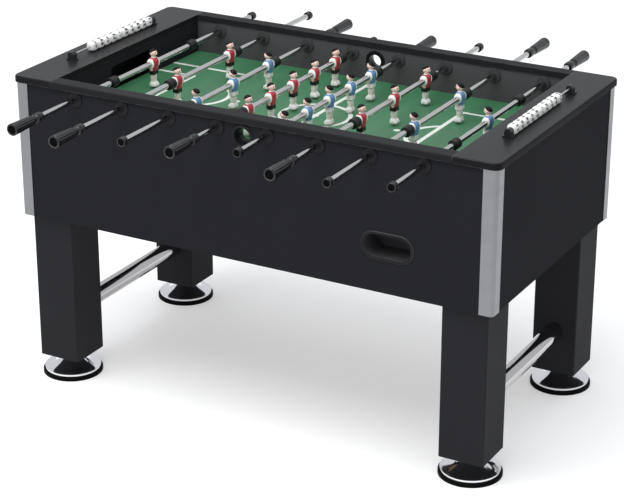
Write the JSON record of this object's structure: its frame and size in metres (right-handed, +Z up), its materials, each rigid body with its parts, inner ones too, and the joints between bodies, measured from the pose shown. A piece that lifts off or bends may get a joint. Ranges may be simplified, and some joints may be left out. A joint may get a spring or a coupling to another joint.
{
  "type": "foosball table",
  "caption": "Foosball table: black cabinet on square legs with levelling feet, chrome rods of moulded men that slide and turn, score beads and ball returns.",
  "frame": {"origin": "on the floor under the middle of the table, between the four feet", "axes": "+X along the table towards the right end as seen from the front, +Y along the rods from the front to the rear, +Z up"},
  "size_m": [1.42, 1.3767, 0.912],
  "materials": {
    "cabinet_black": "black laminate on board, low sheen",
    "rail_black": "black laminate, polished",
    "field_green": "printed green playfield, satin",
    "batten_wood": "raw softwood",
    "chute_board": "raw hardboard",
    "trim_silver": "brushed and anodised",
    "leg_black": "black laminate, low sheen",
    "stretcher_chrome": "polished chrome plate",
    "cup_black": "moulded black plastic",
    "bearing_black": "moulded black nylon",
    "counter_black": "moulded black plastic",
    "bolt_steel": "zinc plated",
    "rod_steel": "chrome plated steel tube",
    "men_red": "painted moulding, red shirt, black shorts",
    "men_blue": "painted moulding, blue shirt, white shorts",
    "grip_black": "moulded black, fluted",
    "bumper_rubber": "black rubber",
    "foot_chrome": "polished bell on a black pad",
    "bead_white": "white moulding with printed black figures"
  },
  "bodies": {
    "cabinet": {"front_side_panel": "cabinet_black", "rear_side_panel": "cabinet_black", "left_end_panel": "cabinet_black", "right_end_panel": "cabinet_black", "playfield": "field_green", "field_battens": "batten_wood", "goal_walls": "cabinet_black", "ball_chutes": "chute_board", "front_top_rail": "rail_black", "rear_top_rail": "rail_black", "left_end_rail": "rail_black", "right_end_rail": "rail_black", "corner_trims": "trim_silver", "legs": "leg_black", "stretchers": "stretcher_chrome", "ball_return_cups": "cup_black", "ball_entry_cups": "cup_black", "rod_bearings": "bearing_black", "score_rails": "counter_black", "leg_bolts": "bolt_steel"},
    "rod_1_carriage": {"rod_1_bumpers": "bumper_rubber"},
    "rod_1_turning": {"rod_1": "rod_steel", "rod_1_men": "men_red", "rod_1_grip_and_cap": "grip_black"},
    "rod_2_carriage": {"rod_2_bumpers": "bumper_rubber"},
    "rod_2_turning": {"rod_2": "rod_steel", "rod_2_men": "men_red", "rod_2_grip_and_cap": "grip_black"},
    "rod_3_carriage": {"rod_3_bumpers": "bumper_rubber"},
    "rod_3_turning": {"rod_3": "rod_steel", "rod_3_men": "men_blue", "rod_3_grip_and_cap": "grip_black"},
    "rod_4_carriage": {"rod_4_bumpers": "bumper_rubber"},
    "rod_4_turning": {"rod_4": "rod_steel", "rod_4_men": "men_red", "rod_4_grip_and_cap": "grip_black"},
    "rod_5_carriage": {"rod_5_bumpers": "bumper_rubber"},
    "rod_5_turning": {"rod_5": "rod_steel", "rod_5_men": "men_blue", "rod_5_grip_and_cap": "grip_black"},
    "rod_6_carriage": {"rod_6_bumpers": "bumper_rubber"},
    "rod_6_turning": {"rod_6": "rod_steel", "rod_6_men": "men_red", "rod_6_grip_and_cap": "grip_black"},
    "rod_7_carriage": {"rod_7_bumpers": "bumper_rubber"},
    "rod_7_turning": {"rod_7": "rod_steel", "rod_7_men": "men_blue", "rod_7_grip_and_cap": "grip_black"},
    "rod_8_carriage": {"rod_8_bumpers": "bumper_rubber"},
    "rod_8_turning": {"rod_8": "rod_steel", "rod_8_men": "men_blue", "rod_8_grip_and_cap": "grip_black"},
    "front_left_leveller": {"front_left_leveller": "foot_chrome"},
    "front_right_leveller": {"front_right_leveller": "foot_chrome"},
    "rear_left_leveller": {"rear_left_leveller": "foot_chrome"},
    "rear_right_leveller": {"rear_right_leveller": "foot_chrome"},
    "left_first_beads": {"left_first_beads": "bead_white"},
    "left_last_beads": {"left_last_beads": "bead_white"},
    "right_first_beads": {"right_first_beads": "bead_white"},
    "right_last_beads": {"right_last_beads": "bead_white"}
  },
  "joints": [
    {"name": "rod_1_slide", "type": "slide", "parent": "cabinet", "child": "rod_1_carriage", "axis": [0, 1, 0], "range_m": [-0.12575, 0.1418]},
    {"name": "rod_1_spin", "type": "hinge", "parent": "rod_1_carriage", "child": "rod_1_turning", "pos_m": [-0.5096, -0.00803, 0.846], "axis": [0, 1, 0], "continuous": true},
    {"name": "rod_2_slide", "type": "slide", "parent": "cabinet", "child": "rod_2_carriage", "axis": [0, 1, 0], "range_m": [-0.18326, 0.13601]},
    {"name": "rod_2_spin", "type": "hinge", "parent": "rod_2_carriage", "child": "rod_2_turning", "pos_m": [-0.364, 0.02363, 0.846], "axis": [0, 1, 0], "continuous": true},
    {"name": "rod_3_slide", "type": "slide", "parent": "cabinet", "child": "rod_3_carriage", "axis": [0, 1, 0], "range_m": [-0.04804, 0.16933]},
    {"name": "rod_3_spin", "type": "hinge", "parent": "rod_3_carriage", "child": "rod_3_turning", "pos_m": [-0.2184, -0.06065, 0.846], "axis": [0, 1, 0], "continuous": true},
    {"name": "rod_4_slide", "type": "slide", "parent": "cabinet", "child": "rod_4_carriage", "axis": [0, 1, 0], "range_m": [-0.06872, 0.05079]},
    {"name": "rod_4_spin", "type": "hinge", "parent": "rod_4_carriage", "child": "rod_4_turning", "pos_m": [-0.0728, 0.00896, 0.846], "axis": [0, 1, 0], "continuous": true},
    {"name": "rod_5_slide", "type": "slide", "parent": "cabinet", "child": "rod_5_carriage", "axis": [0, 1, 0], "range_m": [-0.00598, 0.11354]},
    {"name": "rod_5_spin", "type": "hinge", "parent": "rod_5_carriage", "child": "rod_5_turning", "pos_m": [0.0728, -0.05378, 0.846], "axis": [0, 1, 0], "continuous": true},
    {"name": "rod_6_slide", "type": "slide", "parent": "cabinet", "child": "rod_6_carriage", "axis": [0, 1, 0], "range_m": [-0.14488, 0.07249]},
    {"name": "rod_6_spin", "type": "hinge", "parent": "rod_6_carriage", "child": "rod_6_turning", "pos_m": [0.2184, 0.03619, 0.846], "axis": [0, 1, 0], "continuous": true},
    {"name": "rod_7_slide", "type": "slide", "parent": "cabinet", "child": "rod_7_carriage", "axis": [0, 1, 0], "range_m": [-0.15468, 0.16458]},
    {"name": "rod_7_spin", "type": "hinge", "parent": "rod_7_carriage", "child": "rod_7_turning", "pos_m": [0.364, -0.00495, 0.846], "axis": [0, 1, 0], "continuous": true},
    {"name": "rod_8_slide", "type": "slide", "parent": "cabinet", "child": "rod_8_carriage", "axis": [0, 1, 0], "range_m": [-0.12374, 0.14381]},
    {"name": "rod_8_spin", "type": "hinge", "parent": "rod_8_carriage", "child": "rod_8_turning", "pos_m": [0.5096, -0.01003, 0.846], "axis": [0, 1, 0], "continuous": true},
    {"name": "front_left_leveller_screw", "type": "slide", "parent": "cabinet", "child": "front_left_leveller", "axis": [0, 0, -1], "range_m": [0, 0.015]},
    {"name": "front_right_leveller_screw", "type": "slide", "parent": "cabinet", "child": "front_right_leveller", "axis": [0, 0, -1], "range_m": [0, 0.015]},
    {"name": "rear_left_leveller_screw", "type": "slide", "parent": "cabinet", "child": "rear_left_leveller", "axis": [0, 0, -1], "range_m": [0, 0.015]},
    {"name": "rear_right_leveller_screw", "type": "slide", "parent": "cabinet", "child": "rear_right_leveller", "axis": [0, 0, -1], "range_m": [0, 0.015]},
    {"name": "left_first_beads_slide", "type": "slide", "parent": "cabinet", "child": "left_first_beads", "axis": [0, -1, 0], "range_m": [0, 0.0358]},
    {"name": "left_last_beads_slide", "type": "slide", "parent": "left_first_beads", "child": "left_last_beads", "axis": [0, -1, 0], "range_m": [0, 0.0358]},
    {"name": "right_first_beads_slide", "type": "slide", "parent": "cabinet", "child": "right_first_beads", "axis": [0, 1, 0], "range_m": [0, 0.0358]},
    {"name": "right_last_beads_slide", "type": "slide", "parent": "right_first_beads", "child": "right_last_beads", "axis": [0, 1, 0], "range_m": [0, 0.0358]}
  ]
}
